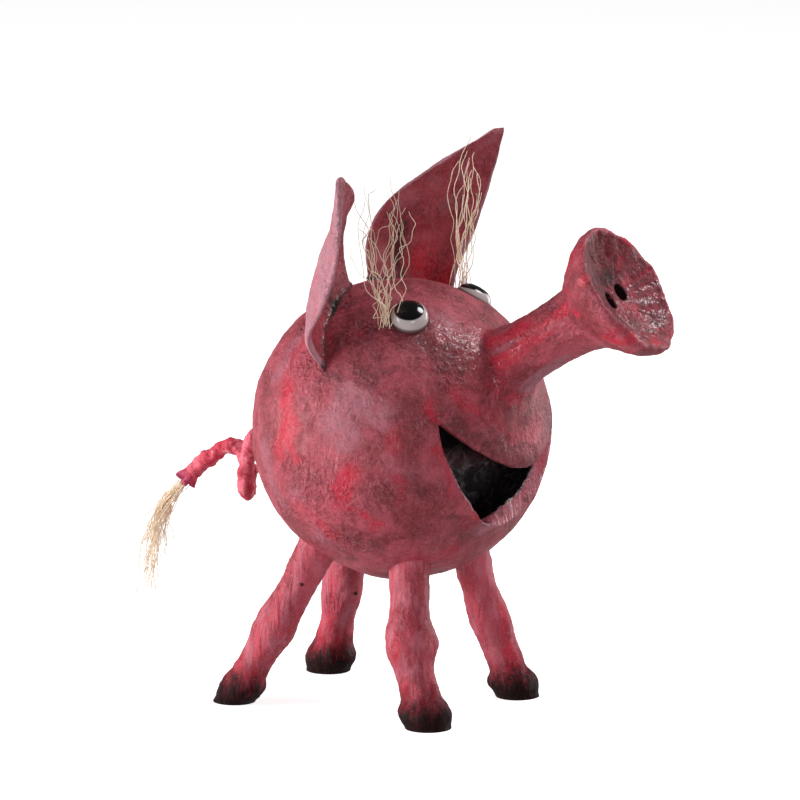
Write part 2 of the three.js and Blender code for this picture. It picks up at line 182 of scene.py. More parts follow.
BROW_ROOTS = {"left": (9.5, 41, 62.5), "right": (14.5, 40.5, 61)}
BROW_ROOT_DEPTH = 0.5
BROW_SEED = {"left": 81, "right": 82}
BROW_POINTS = 30  # along each fibre
BROW_FIBRES = {"left": 15, "right": 20}
BROW_SPREAD = {"left": 3.5, "right": 13.0}
BROW_WAVE = {"left": 2.8, "right": 4.2}
BROW_LEAN = {"left": 6.0, "right": -2.0}
BROW_ROOT_SPREAD = {"left": 3.2, "right": 1.4}
BROW_HEIGHT = {"left": 82.0, "right": 74.0}
BROW_THINNING = 0.85
TASSEL_ROUTE = [(-129, 0, -42), (-142, 0, -58), (-148, 0, -77), (-150.5, 0, -102)]
TASSEL_STEPS = 80  # along the route
TASSEL_SEED = 91
TASSEL_POINTS = 24  # along each fibre
TASSEL_FIBRES = 76
TASSEL_SPREAD = 8.0
TASSEL_STRAYS = 15  # one in so many stands well out
TASSEL_STRAY_SPREAD = 2.2
TASSEL_WAVE = 1.6
TASSEL_THINNING = 0.82
FIBRE_RADIUS = 0.3
FIBRE_GIRTH = (0.7, 1.15)  # the thinnest and the thickest
FIBRE_REACH = {"brow": (0.55, 1.0), "tassel": (0.5, 1.0)}  # the shortest and the longest
FIBRE_TAPER = 0.35
FIBRE_SIDES = 5
FIBRE_TURN = (0.3, 0.9, 0.2)  # where each fibre's first side points
FIBRE_WAVES = (0.8, 1.7, 3.4, 5.0)  # waves along each fibre


# Numbers and curves

LAYERS = 3
LAYER_SHRINK = 2.1
LAYER_FADE = 0.55
SPLINE_STEPS = 40  # from knot to knot


def smoothstep(low, high, x):
    t = np.clip((x - low) / (high - low), 0.0, 1.0)
    return t * t * (3.0 - 2.0 * t)


def peak(x, width):
    """1 at zero, falling off over about `width` to each side."""
    return np.exp(-((x / width) ** 2))


def noise(points, size, seed):
    """Smooth noise from -1 to 1, in lumps about `size` across."""
    cells = 48
    table = np.random.default_rng(seed).uniform(-1.0, 1.0, (cells, cells, cells))
    q = np.asarray(points) / size
    base = np.floor(q).astype(int)
    part = smoothstep(0.0, 1.0, q - base)
    total = np.zeros(len(q))
    for corner in itertools.product((0, 1), repeat=3):
        weight = np.prod(np.where(np.array(corner) == 1, part, 1.0 - part), axis=1)
        i = (base + corner) % cells
        total += weight * table[i[:, 0], i[:, 1], i[:, 2]]
    return total


def layered(points, size, seed):
    """Noise with finer and weaker layers on top."""
    total = 0.0
    for i in range(LAYERS):
        total = total + noise(points, size / LAYER_SHRINK ** i, seed + i) * LAYER_FADE ** i
    return total


def spline(knots, count):
    """Points at even steps along a centripetal curve through the knots."""
    p = np.asarray(knots, float)
    p = np.vstack([2 * p[0] - p[1], p, 2 * p[-1] - p[-2]])
    gap = np.sqrt(np.linalg.norm(np.diff(p, axis=0), axis=1))[:, None]
    t = np.linspace(0.0, 1.0, SPLINE_STEPS)[:, None]
    drawn = []
    for i in range(1, len(p) - 2):
        before, here, after = gap[i - 1], gap[i], gap[i + 1]
        chord = (p[i + 1] - p[i]) / here
        leave = (p[i] - p[i - 1]) / before - (p[i + 1] - p[i - 1]) / (before + here) + chord
        arrive = chord - (p[i + 2] - p[i]) / (here + after) + (p[i + 2] - p[i + 1]) / after
        drawn.append(
            (2 * t**3 - 3 * t**2 + 1) * p[i]
            + (t**3 - 2 * t**2 + t) * leave * here
            + (3 * t**2 - 2 * t**3) * p[i + 1]
            + (t**3 - t**2) * arrive * here
        )
    drawn = np.vstack(drawn)
    length = np.concatenate([[0.0], np.cumsum(np.linalg.norm(np.diff(drawn, axis=0), axis=1))])
    even = np.linspace(0.0, length[-1], count)
    return np.stack([np.interp(even, length, drawn[:, k]) for k in range(drawn.shape[1])], axis=1)


def unit(v):
    return v / np.linalg.norm(v, axis=-1, keepdims=True)


def smooth_rows(rows, share):
    """Values at `share` that ease from row to row."""
    xs = np.array([row[0] for row in rows])
    ys = np.array([row[1] for row in rows])
    i = np.clip(np.searchsorted(xs, share, side="right") - 1, 0, len(xs) - 2)
    return ys[i] + (ys[i + 1] - ys[i]) * smoothstep(xs[i], xs[i + 1], share)


def on_side(point, side):
    return np.asarray(point, float) * np.array([1.0, side, 1.0])


def seen_on_ball(right, up):
    """The place on the ball's near side, `right` of and `up` from its middle as the camera sees it."""
    depth = math.sqrt(max(BALL_RADIUS**2 - right**2 - up**2, 1.0))
    return right * VIEW_RIGHT + up * VIEW_UP + depth * VIEW_BACK


# Meshes

def grid_faces(rows, columns):
    """Quads between rings of points."""
    i, j = np.meshgrid(np.arange(rows - 1), np.arange(columns), indexing="ij")
    k = (j + 1) % columns
    here, after = i * columns, (i + 1) * columns
    quads = np.stack([here + j, here + k, after + k, after + j], axis=-1)
    return quads.reshape(-1, 4)


def tube(rings):
    """Points and faces of a closed tube through rings, with a fan at each end."""
    rows, columns = rings.shape[:2]
    points = np.vstack([rings.reshape(-1, 3), rings[0].mean(axis=0), rings[-1].mean(axis=0)])
    first = rows * columns
    faces = grid_faces(rows, columns).tolist()
    last = (rows - 1) * columns
    for j in range(columns):
        k = (j + 1) % columns
        faces.append([first, k, j])
        faces.append([first + 1, last + j, last + k])
    return points, faces


def turns(count):
    return np.linspace(0.0, 2.0 * math.pi, count, endpoint=False)


def rings_along(line, radii, sides, ahead):
    """Rings round a line of points, turned as little as possible."""
    tangent = unit(np.gradient(line, axis=0))
    turn = turns(sides)
    across = np.asarray(ahead, float)
    rings = []
    for centre, along, radius in zip(line, tangent, radii):
        across = unit(across - along * np.dot(across, along))
        aside = np.cross(along, across)
        ring = np.outer(np.cos(turn), across) + np.outer(np.sin(turn), aside)
        rings.append(centre + ring * np.reshape(radius, (-1, 1)))
    return np.array(rings)


def make_mesh(name, points, faces):
    mesh = bpy.data.meshes.new(name)
    mesh.from_pydata(np.asarray(points).tolist(), [], faces)
    mesh.update()
    return mesh


def triples(data, name):
    flat = np.empty(len(data) * 3, np.float32)
    data.foreach_get(name, flat)
    return flat.reshape(-1, 3).astype(float)


def mesh_points(mesh):
    return triples(mesh.vertices, "co")


def mesh_normals(mesh):
    return triples(mesh.vertex_normals, "vector")


def set_points(mesh, points):
    mesh.vertices.foreach_set("co", np.asarray(points, np.float32).ravel())
    mesh.update()


def roughen(mesh, amounts):
    """Moves each point along its normal."""
    set_points(mesh, mesh_points(mesh) + mesh_normals(mesh) * amounts[:, None])


def mark(mesh, **masks):
    """Keeps paint masks on the mesh's points."""
    for name, values in masks.items():
        layer = mesh.attributes.new(name, "FLOAT", "POINT")
        layer.data.foreach_set("value", np.clip(values, 0.0, 1.0).astype(np.float32))


def add_object(name, data):
    piece = bpy.data.objects.new(name, data)
    bpy.context.scene.collection.objects.link(piece)
    return piece


def place(mesh, node, slot_name, material):
    """Puts a finished mesh, in millimetres, in the place of its CAD node."""
    set_points(mesh, (mesh_points(mesh) + BALL_CENTRE) * MM)
    mesh.shade_smooth()
    mesh.materials.append(material)
    piece = add_object(node + "_shape", mesh)
    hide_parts(node)
    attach(piece, "root")


# Paint

# Numbers of a mix node's colour sockets
MIX_A, MIX_B, MIX_RESULT = 6, 7, 2


def fill(node, **values):
    """Sets a node's inputs by their names, with _ for a space."""
    for name, value in values.items():
        node.inputs[name.replace("_", " ")].default_value = value


class Shader:
    """A material's node tree, with short ways to add to it."""

    def __init__(self, name):
        self.material = bpy.data.materials.new(name)
        self.material.use_nodes = True
        self.nodes = self.material.node_tree.nodes
        self.links = self.material.node_tree.links
        self.surface = self.nodes["Principled BSDF"]
        self.place = self.add("ShaderNodeTexCoord").outputs["Object"]

    def add(self, kind, **settings):
        node = self.nodes.new(kind)
        for name, value in settings.items():
            setattr(node, name, value)
        return node

    def feed(self, socket, value):
        if isinstance(value, bpy.types.NodeSocket):
            self.links.new(value, socket)
        elif isinstance(value, tuple):
            socket.default_value = (*value, 1.0)
        else:
            socket.default_value = value

    def finish(self, name, value):
        self.feed(self.surface.inputs[name], value)

    def stretched(self, scale, turn=(0.0, 0.0, 0.0)):
        node = self.add("ShaderNodeMapping")
        self.feed(node.inputs["Vector"], self.place)
        fill(node, Rotation=turn, Scale=scale)
        return node.outputs["Vector"]

    def noise(self, scale, detail, rough=0.55, twist=0.0, place=None):
        node = self.add("ShaderNodeTexNoise")
        self.feed(node.inputs["Vector"], place or self.place)
        fill(node, Scale=scale, Detail=detail, Roughness=rough, Distortion=twist)
        return node.outputs["Fac"]

    def thread(self, turn, stretch):
        """Noise drawn out into short threads."""
        return self.noise(1.0, detail=3.0, rough=0.6, twist=0.35, place=self.stretched(stretch, turn))

    def crinkle(self, scale, place):
        """Sharp little ridges like those of crumpled tissue, about 0.5 in a valley and 1.4 on a ridge."""
        node = self.add("ShaderNodeTexNoise", noise_type="RIDGED_MULTIFRACTAL")
        self.feed(node.inputs["Vector"], place)
        fill(node, Scale=scale, Detail=4.0, Roughness=0.6, Offset=1.0, Gain=1.0, Distortion=0.5)
        return node.outputs["Fac"]

    def mask(self, name):
        return self.add("ShaderNodeAttribute", attribute_name=name).outputs["Fac"]

    def math(self, what, a, b):
        node = self.add("ShaderNodeMath", operation=what)
        self.feed(node.inputs[0], a)
        self.feed(node.inputs[1], b)
        return node.outputs[0]

    def span(self, value, low, high, to_low=0.0, to_high=1.0):
        """`value` eased from low..high to the new span."""
        node = self.add("ShaderNodeMapRange", interpolation_type="SMOOTHSTEP")
        self.feed(node.inputs["Value"], value)
        fill(node, From_Min=low, From_Max=high, To_Min=to_low, To_Max=to_high)
        return node.outputs["Result"]

    def mix(self, share, a, b):
        node = self.add("ShaderNodeMix", data_type="RGBA")
        self.feed(node.inputs["Factor"], share)
        self.feed(node.inputs[MIX_A], a)
        self.feed(node.inputs[MIX_B], b)
        return node.outputs[MIX_RESULT]

    def blotchy(self, name, texture, spread):
        """A paint mask whose edge is broken up by a texture."""
        mask = self.mask(name)
        broken = self.math("MULTIPLY", self.math("SUBTRACT", texture, 0.5), spread)
        lifted = self.math("ADD", mask, broken)
        return self.math("MULTIPLY", self.span(lifted, 0.12, 0.85), self.span(mask, 0.0, 0.1))

    def bump(self, height, distance, strength=1.0, under=None):
        node = self.add("ShaderNodeBump")
        fill(node, Distance=distance, Strength=strength)
        self.feed(node.inputs["Height"], height)
        if under is not None:
            self.links.new(under, node.inputs["Normal"])
        return node.outputs["Normal"]


ROSE = (0.52, 0.074, 0.108)
DEEP_ROSE = (0.265, 0.025, 0.036)
LILAC = (0.47, 0.140, 0.185)
CORAL = (0.62, 0.010, 0.040)
PLUM = (0.130, 0.022, 0.032)
SCRATCH = (0.050, 0.010, 0.014)
BLACK_AND_SHADE = (0.012, 0.005, 0.005)
DUST_AND_HIGHLIGHT = (0.60, 0.205, 0.255)
# The hollow's black paint, made grey to stand in for a painted sheen, and the painted glints strewn over it
HOLLOW_BLACK_AND_SHEEN = (0.100, 0.088, 0.092)
GLINT = (0.48, 0.43, 0.45)
PEARL = (0.52, 0.235, 0.285)
EAR_ROSE = (0.48, 0.070, 0.095)
EAR_DEEP = (0.32, 0.030, 0.042)
TAIL_RED = (1.0, 0.20, 0.27)
TAIL_DEEP = (0.72, 0.040, 0.080)
TAIL_LIGHT = (1.0, 0.40, 0.48)
MAGENTA = (0.36, 0.015, 0.11)
LEG_ROSE = (0.56, 0.080, 0.118)
LEG_DEEP = (0.38, 0.036, 0.054)
LEG_WASH = (0.170, 0.014, 0.026)
LEG_LIGHT = (0.60, 0.140, 0.190)
EYE_WHITE = (0.60, 0.53, 0.53)
EYE_CLOUD = (0.50, 0.43, 0.43)
EYE_BASE_SHADE = (0.10, 0.05, 0.05)
PUPIL_BLACK = (0.006, 0.005, 0.005)
STRAW_DULL = (0.66, 0.46, 0.28)
STRAW_PALE = (1.0, 0.86, 0.70)
STRAW_GOLD = (0.86, 0.68, 0.49)
FLOOR_GREY = (0.85, 0.85, 0.85)
WHITE = (1.0, 1.0, 1.0)

# Noise scales of the painted paper's grains
CLOUD_SCALE = 42.0
MOTTLE_SCALE = 170.0
SPECKLE_SCALE = 560.0
CRINKLE_SCALE = 280.0
CRUMPLE_SCALE = 34.0
GLINT_STREAK_SCALE = 110.0
RIPPLE_STRETCH = (340.0, 340.0, 75.0)
# The turn and the stretch of each set of threads
THREADS = [
    ((0.0, 0.0, 0.5), (130.0, 1300.0, 900.0)),
    ((0.9, 0.4, 0.0), (1000.0, 120.0, 1200.0)),
    ((0.3, 0.8, 1.2), (1200.0, 1000.0, 130.0)),
]
# Heights of the relief
MOTTLE_HEIGHT = 0.0022
CRINKLE_HEIGHT = 0.0007
RIPPLE_HEIGHT = 0.0010
THREAD_HEIGHT = 0.0008
SPECKLE_HEIGHT = 0.0006
VARNISH_HEIGHT = 0.0013
VARNISH_WEIGHT = 0.5
VARNISH_ROUGHNESS = 0.09
PAINT_SPECULAR = 0.28
BLACK_AND_SHADE_SPECULAR = 0.06


def paint(name, base, deep, masks, streaks=(1.0, 1.0, 1.0), wash=PLUM, light=LILAC, crumple=1.0):
    """Brushed paint over crumpled paper. `masks` are those that a piece has beside red, grey and pale."""
    s = Shader(name)
    brushed = s.stretched(streaks)
    cloud = s.noise(CLOUD_SCALE, detail=5.0, rough=0.65, twist=0.8, place=brushed)
    mottle = s.noise(MOTTLE_SCALE, detail=8.0, rough=0.72, twist=0.4, place=brushed)
    speckle = s.noise(SPECKLE_SCALE, detail=5.0, rough=0.8, twist=0.3, place=brushed)
    threads = s.thread(*THREADS[0])
    for turn, stretch in THREADS[1:]:
        threads = s.math("MAXIMUM", threads, s.thread(turn, stretch))
    crinkle = s.crinkle(CRINKLE_SCALE, brushed)
    crumpled = s.span(s.noise(CRUMPLE_SCALE, detail=3.0), 0.42, 0.64, 0.2 * crumple, crumple)

    colour = s.mix(s.span(cloud, 0.38, 0.62), base, deep)
    colour = s.mix(s.blotchy("pale", mottle, 1.0), colour, light)
    colour = s.mix(s.blotchy("red", cloud, 0.9), colour, CORAL)
    washed = s.math("ADD", s.mask("grey"), s.span(mottle, 0.38, 0.66, -0.25, 0.7))
    colour = s.mix(s.span(washed, 0.2, 1.4, 0.0, 0.75), colour, wash)
    colour = s.mix(s.span(mottle, 0.46, 0.32, 0.0, 0.35), colour, LILAC)
    colour = s.mix(s.math("MULTIPLY", s.span(crinkle, 0.9, 0.4, 0.0, 0.24), crumpled), colour, SCRATCH)
    # The crinkles' ridges are lightened: painted highlight
    colour = s.mix(s.math("MULTIPLY", s.span(crinkle, 1.1, 1.5, 0.0, 0.24), crumpled), colour, DUST_AND_HIGHLIGHT)
    colour = s.mix(s.span(speckle, 0.51, 0.66, 0.0, 0.2), colour, DUST_AND_HIGHLIGHT)
    colour = s.mix(s.span(threads, 0.60, 0.72, 0.0, 0.5), colour, DUST_AND_HIGHLIGHT)
    colour = s.mix(s.span(threads, 0.49, 0.40, 0.0, 0.6), colour, SCRATCH)
    colour = s.mix(s.span(speckle, 0.47, 0.32, 0.0, 0.35), colour, SCRATCH)
    # The dark mask takes the black: black paint, and the painted shade that a piece marks in it
    black_and_shade = s.span(speckle, 0.3, 0.7, -0.25, 0.25)
    specular = PAINT_SPECULAR
    if "dark" in masks:
        black_and_shade = s.math("ADD", s.mask("dark"), black_and_shade)
        specular = s.span(s.mask("dark"), 0.0, 1.0, PAINT_SPECULAR, BLACK_AND_SHADE_SPECULAR)
    colour = s.mix(s.span(black_and_shade, 0.05, 1.0), colour, BLACK_AND_SHADE)
    if "smoke" in masks:
        # Painted sheen and painted glints strewn over the hollow's black inside
        glint_streaks = s.noise(GLINT_STREAK_SCALE, detail=5.0, rough=0.7, twist=1.2)
        colour = s.mix(s.mask("smoke"), colour, s.mix(s.span(glint_streaks, 0.48, 0.66), HOLLOW_BLACK_AND_SHEEN, GLINT))
    s.finish("Base Color", colour)
    s.finish("Specular IOR Level", specular)
    s.finish("Roughness", s.span(mottle, 0.3, 0.7, 0.42, 0.58))

    relief = s.bump(mottle, MOTTLE_HEIGHT, 0.5)
    relief = s.bump(s.math("MULTIPLY", crinkle, crumpled), CRINKLE_HEIGHT, 0.9, relief)
    if "gloss" in masks:
        gloss = s.mask("gloss")
        ripple = s.noise(1.0, detail=2.0, rough=0.5, twist=0.6, place=s.stretched(RIPPLE_STRETCH))
        relief = s.bump(s.math("MULTIPLY", ripple, gloss), RIPPLE_HEIGHT, 1.0, relief)
        s.finish("Coat Weight", s.math("MULTIPLY", gloss, VARNISH_WEIGHT))
        s.finish("Coat Roughness", VARNISH_ROUGHNESS)
        s.finish("Coat Normal", s.bump(ripple, VARNISH_HEIGHT))
    relief = s.bump(threads, THREAD_HEIGHT, 0.7, relief)
    relief = s.bump(speckle, SPECKLE_HEIGHT, 0.8, relief)
    s.finish("Normal", relief)
    return s.material


# Paint on the near side as the camera sees it: each stroke's two ends, right of and above the ball's middle,
# its width and its strength
RED_STROKES = [
    (-56, 22, -59, -8, 9, 0.75), (-55, -12, -52, -18, 5, 0.8), (-26, -21, -31, -32, 8, 0.9),
    (-36, -38, -8, -47, 3.5, 1.0), (0, -21, 2, -35, 5, 0.5), (18, -8, 24, -32, 5, 0.6),
    (11, 11, 18, 6, 5, 0.8), (25, 18, 40, 6, 6, 0.6), (54, 23, 45, 43, 7, 0.7),
    (-15, 51, -22, 46, 6, 0.6), (10, -64, 24, -62, 8, 0.5), (46, 20, 62, 11, 6, 0.6),
    (-50, -40, -40, -48, 10, 0.5), (-54, 32, -50, 40, 8, 0.4), (30, -44, 44, -40, 6, 0.5),
    (-2, -8, -4, 2, 7, 0.4), (46, 2, 64, -6, 12, 0.45),
]
# Grey strokes; those between the near ear, the eye and the tuft's root are painted shade
GREY_AND_SHADE_STROKES = [
    (15, 40, 22, 32, 9, 0.9), (-14, 29, -20, 26, 8, 0.8), (-38, 25, -33, 20, 6, 0.9),
    (0, 31, 4, 27, 7, 0.5), (19, 9, 22, 6, 4, 1.0), (26, -44, 32, -46, 8, 0.7),
    (-22, -56, -12, -58, 8, 0.7), (34, -53, 40, -48, 8, 0.5), (-64, 42, -58, 48, 9, 0.4),
    (52, -8, 60, -12, 9, 0.4), (-6, 70, 8, 72, 7, 0.6), (60, 34, 66, 28, 7, 0.4),
    (58, 2, 66, 4, 4, 0.8), (-31, 55, -28, 40, 7, 1.0), (-34, 36, -32, 30, 6, 0.8),
    (-27, 60, -18, 46, 10, 0.9), (-12, 53, -4, 52, 5, 1.0), (-34, -58, -28, -62, 7, 0.7),
    (-8, 12, -2, 6, 7, 0.5), (6, -26, 12, -30, 8, 0.5), (48, -36, 54, -28, 7, 0.4),
    (44, 21, 64, 11, 7, 0.9), (-20, 40, -12, 36, 8, 0.7), (50, 16, 58, 20, 8, 0.5),
    (60, -42, 58, -45, 2.5, 1.0), (40, 58, 30, 64, 10, 0.6), (48, -4, 58, 10, 12, 0.5),
]
PALE_STROKES = [
    (-30, 14, -12, 8, 9, 1.0), (-34, 4, -26, -4, 9, 0.7), (-68, -10, -62, -34, 9, 0.6),
    (30, 44, 46, 34, 8, 0.5), (-62, 26, -52, 44, 9, 0.6), (-2, -14, 6, -20, 9, 0.4),
    (-52, -34, -40, -54, 9, 0.6), (14, 56, 26, 52, 9, 0.7), (-10, 64, 6, 62, 9, 0.4),
    (40, -50, 56, -38, 6, 0.8),
]
GLOSS_STROKES = [(22, 46, 46, 32, 12, 1.0)]
STROKE_WANDER = 5.0
STROKE_FRAY = 2.5
STROKE_SEEDS = (301, 302, 303)


def strokes(points, rows):
    """How strongly each point on the ball takes a paint that is brushed on in ragged strokes."""
    moved = []
    for seed in STROKE_SEEDS:
        moved.append(STROKE_WANDER * noise(points, 13.0, seed) + STROKE_FRAY * noise(points, 5.0, seed + 3))
    ragged = points + np.stack(moved, axis=1)
    total = np.zeros(len(points))
    for right, up, to_right, to_up, width, strength in rows:
        start, end = seen_on_ball(right, up), seen_on_ball(to_right, to_up)
        run = end - start
        t = np.clip((ragged - start) @ run / (run @ run), 0.0, 1.0)
        away = np.linalg.norm(ragged - start - t[:, None] * run, axis=1)
        total = np.maximum(total, strength * peak(away, width))
    return total


# Body

FIELD_LIMIT = 5.0
LIP_RIDGE_RISE = 3.0
LIP_RIDGE_ENDS = (0.55, 1.0)  # in half widths of the mouth
JAW_EDGE = (4.0, -4.0)  # above the mouth's middle
BEVEL_SIDE = (-0.4, 0.15)
UNDERCUT_SIDE = (-0.1, -0.45)
EDGE_ROUNDING = 1.0
UPPER_LIP_ROUNDING = 3.0  # more, in the middle of the upper lip
SNOUT_FLARE = (118.0, 150.0)
SNOUT_LOBES = [(0.012, 3.0, -0.6), (0.012, 5.0, 2.0), (0.01, 9.0, 0.0)]  # height, number, phase
CORNER_LOBE = 0.03
CORNER_WIDTH = 0.25
CUP_START = (126.0, 138.0)
CUP_END = (150.0, 142.0)

# Where each painted region starts and where it is full: from the ball's centre
SNOUT_EDGE = (77.6, 79.5)
HOLLOW_EDGE = (68.6, 67.7)
UNDER_LIP_EDGE = (73.5, 71.0)
LIP_INNER_EDGE = (67.4, 68.0)
LIP_OUTER_EDGE = (75.2, 73.8)
# Along the snout
SEAM_START = (50.0, 55.0)
BELL_START = (112.0, 135.0)
NOSTRIL_START = (120.0, 130.0)
DISH_START = (145.0, 147.0)
# From the snout's axis
SEAM_EDGE = (26.0, 23.0)
DISH_EDGE = (33.5, 31.5)
# Across the dish, towards its side that is painted in shade
DISH_SHADE_SIDE = (-14.0, 14.0)
# From an eye's axis
SOCKET_SHADE_EDGE = (13.0, 9.6)
# Above the ball's middle, as the camera sees it
SHADOW_EDGE = (-24.0, -6.0)

SEAM_RADIUS = 77.2
SEAM_WIDTH = 1.0
# Right of and above the ball's middle, as the camera sees them
PITS = (61, 1)
PITS_SIZE = 7.0
DISH_SHADE_SPOT = (102.8, 75.0)
DISH_SHADE_SPOT_SIZE = 4.5


def upper_lip(share):
    return UPPER_LIP + (MOUTH_CORNER - UPPER_LIP) * np.abs(share) ** UPPER_LIP_POWER


def lower_lip(share):
    return MOUTH_CORNER - (MOUTH_CORNER - LOWER_LIP) * np.maximum(1.0 - share * share, 0.0) ** LOWER_LIP_POWER


def mouth_middle(share):
    return 0.5 * (upper_lip(share) + lower_lip(share))


def soft_min(a, b, blend):
    h = np.maximum(blend - np.abs(a - b), 0.0) / blend
    return np.minimum(a, b) - h * h * blend * 0.25


def snout_axis():
    rise = math.radians(SNOUT_ELEVATION)
    return np.array([math.cos(rise), 0.0, math.sin(rise)])


def snout_local(p):
    """Points in the straight snout's own axes: across, along, aside."""
    rise = math.radians(SNOUT_ELEVATION)
    along = p[0] * math.cos(rise) + p[2] * math.sin(rise)
    across = -p[0] * math.sin(rise) + p[2] * math.cos(rise)
    aside = p[1]
    level = along
    for _ in range(3):
        share = smoothstep(SNOUT_BEND_START, SNOUT_FACE, level)
        tilt = math.radians(SNOUT_FACE_TILT) * share
        yaw = math.radians(SNOUT_FACE_YAW) * share
        ahead = along - SNOUT_FACE
        straight = ahead * np.cos(yaw) + aside * np.sin(yaw)
        side = aside * np.cos(yaw) - ahead * np.sin(yaw)
        level = straight * np.cos(tilt) + across * np.sin(tilt) + SNOUT_FACE
        high = across * np.cos(tilt) - straight * np.sin(tilt)
    side = side / (1.0 - (1.0 - SNOUT_FACE_NARROWING) * share)
    return high, level, side


def profile_distance(radius, along):
    """Signed distance to the snout's outline, read off a fine table."""
    curve = spline(SNOUT_PROFILE + SNOUT_DISH, 160)
    outline = np.vstack([[(0.0, SNOUT_PROFILE[0][0])], curve[:, ::-1]])
    cell = 0.5
    low = np.array([0.0, 40.0])
    size = (140, 280)
    steps = [low[k] + cell * np.arange(size[k]) for k in (0, 1)]
    grid = np.stack(np.meshgrid(*steps, indexing="ij"), axis=-1)
    best = np.full(size, 1e9)
    inside = np.zeros(size, bool)
    for a, b in zip(outline[:-1], outline[1:]):
        step = b - a
        t = np.clip(((grid - a) @ step) / max(step @ step, 1e-12), 0.0, 1.0)
        best = np.minimum(best, np.linalg.norm(grid - a - t[..., None] * step, axis=-1))
        crosses = (a[1] > grid[..., 1]) != (b[1] > grid[..., 1])
        reach = a[0] + (grid[..., 1] - a[1]) * step[0] / (step[1] if abs(step[1]) > 1e-9 else 1e-9)
        inside ^= crosses & (grid[..., 0] < reach)
    table = np.where(inside, -best, best)
    u = np.clip((radius - low[0]) / cell, 0, size[0] - 1.001)
    v = np.clip((along - low[1]) / cell, 0, size[1] - 1.001)
    i, j = u.astype(int), v.astype(int)
    fu, fv = u - i, v - j
    return (
        table[i, j] * (1 - fu) * (1 - fv)
        + table[i + 1, j] * fu * (1 - fv)
        + table[i, j + 1] * (1 - fu) * fv
        + table[i + 1, j + 1] * fu * fv
    )


def mouth_angles(p):
    """Distance from the centre, azimuth from the mouth's middle and elevation, in degrees."""
    r = np.sqrt(p[0] ** 2 + p[1] ** 2 + p[2] ** 2) + 1e-6
    azimuth = np.degrees(np.arctan2(p[1], p[0])) - MOUTH_TURN
    elevation = np.degrees(np.arcsin(np.clip(p[2] / r, -1.0, 1.0)))
    return r, azimuth, elevation


def from_corner(around):
    """Turn from the corner of the snout's rim."""
    return np.mod(around - SNOUT_RIM_CORNER + math.pi, 2.0 * math.pi) - math.pi


def from_nostril(high, side):
    """Distance from the nearer nostril's axis."""
    out = 0.5 * NOSTRIL_SPACING
    up, left = out * math.sin(NOSTRIL_ROLL), out * math.cos(NOSTRIL_ROLL)
    return np.minimum(np.hypot(high - up, side - left), np.hypot(high + up, NOSTRIL_SLIT * (side + left)))


def body_field(p):
    """Signed distance to the hollow ball with its snout, mouth and nostrils."""
    r, azimuth, elevation = mouth_angles(p)
    share = np.clip(azimuth / MOUTH_HALF_WIDTH, -1.0, 1.0)
    middle = math.radians((UPPER_LIP + LOWER_LIP) / 2)
    facing = np.clip((p[0] * math.cos(middle) + p[2] * math.sin(middle)) / r, -1.0, 1.0)
    muzzle = peak(np.degrees(np.arccos(facing)), MUZZLE_REACH)
    swell = MUZZLE_SWELL * muzzle
    over_lip = peak(elevation - upper_lip(share) - LIP_RIDGE_RISE, LIP_RIDGE_WIDTH)
    swell += LIP_RIDGE * over_lip * (1.0 - smoothstep(*LIP_RIDGE_ENDS, np.abs(azimuth / MOUTH_HALF_WIDTH)))
    under_mouth = smoothstep(*JAW_EDGE, elevation - mouth_middle(share))
    swell -= JAW_SET_BACK * under_mouth * muzzle
    ball = r - BALL_RADIUS - swell

    high, along, side = snout_local(p)
    around = np.arctan2(side, high)
    flare = smoothstep(*SNOUT_FLARE, along)
    lobes = sum(height * np.sin(number * around + phase) for height, number, phase in SNOUT_LOBES)
    lobes = lobes + CORNER_LOBE * peak(from_corner(around), CORNER_WIDTH)
    cup = smoothstep(*CUP_START, along) * smoothstep(*CUP_END, along)
    radius = np.hypot(high, side) / (1.0 + flare * lobes + SNOUT_TOP_SWELL * cup * np.cos(around))
    horn = profile_distance(radius, along)
    below = smoothstep(0.4, -0.6, np.cos(around))
    field = soft_min(ball, horn, TOP_FILLET + (LOW_FILLET - TOP_FILLET) * below)

    field = np.maximum(field, BALL_RADIUS - WALL - r)
    slope = LOWER_LIP_BEVEL * smoothstep(*BEVEL_SIDE, share)
    slope = slope - LOWER_LIP_UNDERCUT * smoothstep(*UNDERCUT_SIDE, share)
    bevel = slope * (BALL_RADIUS - r) / WALL * (1.0 - share * share)
    over = (lower_lip(share) + bevel - elevation) * np.radians(r)
    under = (elevation - upper_lip(share)) * np.radians(r)
    beyond = (np.abs(azimuth) - MOUTH_END * MOUTH_HALF_WIDTH) * np.radians(r)
    behind = -p[0]
    gap = np.maximum(np.maximum(over, under), np.maximum(beyond, behind))
    rounding = EDGE_ROUNDING + np.where(under > over, UPPER_LIP_ROUNDING, 0.0) * (1.0 - share * share)
    field = -soft_min(-field, gap, rounding)
    hole = from_nostril(high, side) - NOSTRIL_RADIUS
    return -soft_min(-field, np.maximum(hole, NOSTRIL_BOTTOM - along), EDGE_ROUNDING)


def thin_inside(mesh):
    """Fewer faces on the hollow's wall, which only shows through the mouth."""
    piece = add_object("thinning", mesh)
    group = piece.vertex_groups.new(name="inside")
    inner = np.linalg.norm(mesh_points(mesh), axis=1) < BALL_RADIUS - WALL + 0.5
    group.add(np.flatnonzero(inner).tolist(), 1.0, "REPLACE")
    thin = piece.modifiers.new("thin", "DECIMATE")
    thin.ratio = BODY_KEPT_FACES
    thin.vertex_group = group.name
    thin.vertex_group_factor = 1000.0
    done = bpy.data.meshes.new_from_object(piece.evaluated_get(bpy.context.evaluated_depsgraph_get()))
    bpy.data.objects.remove(piece)
    return done


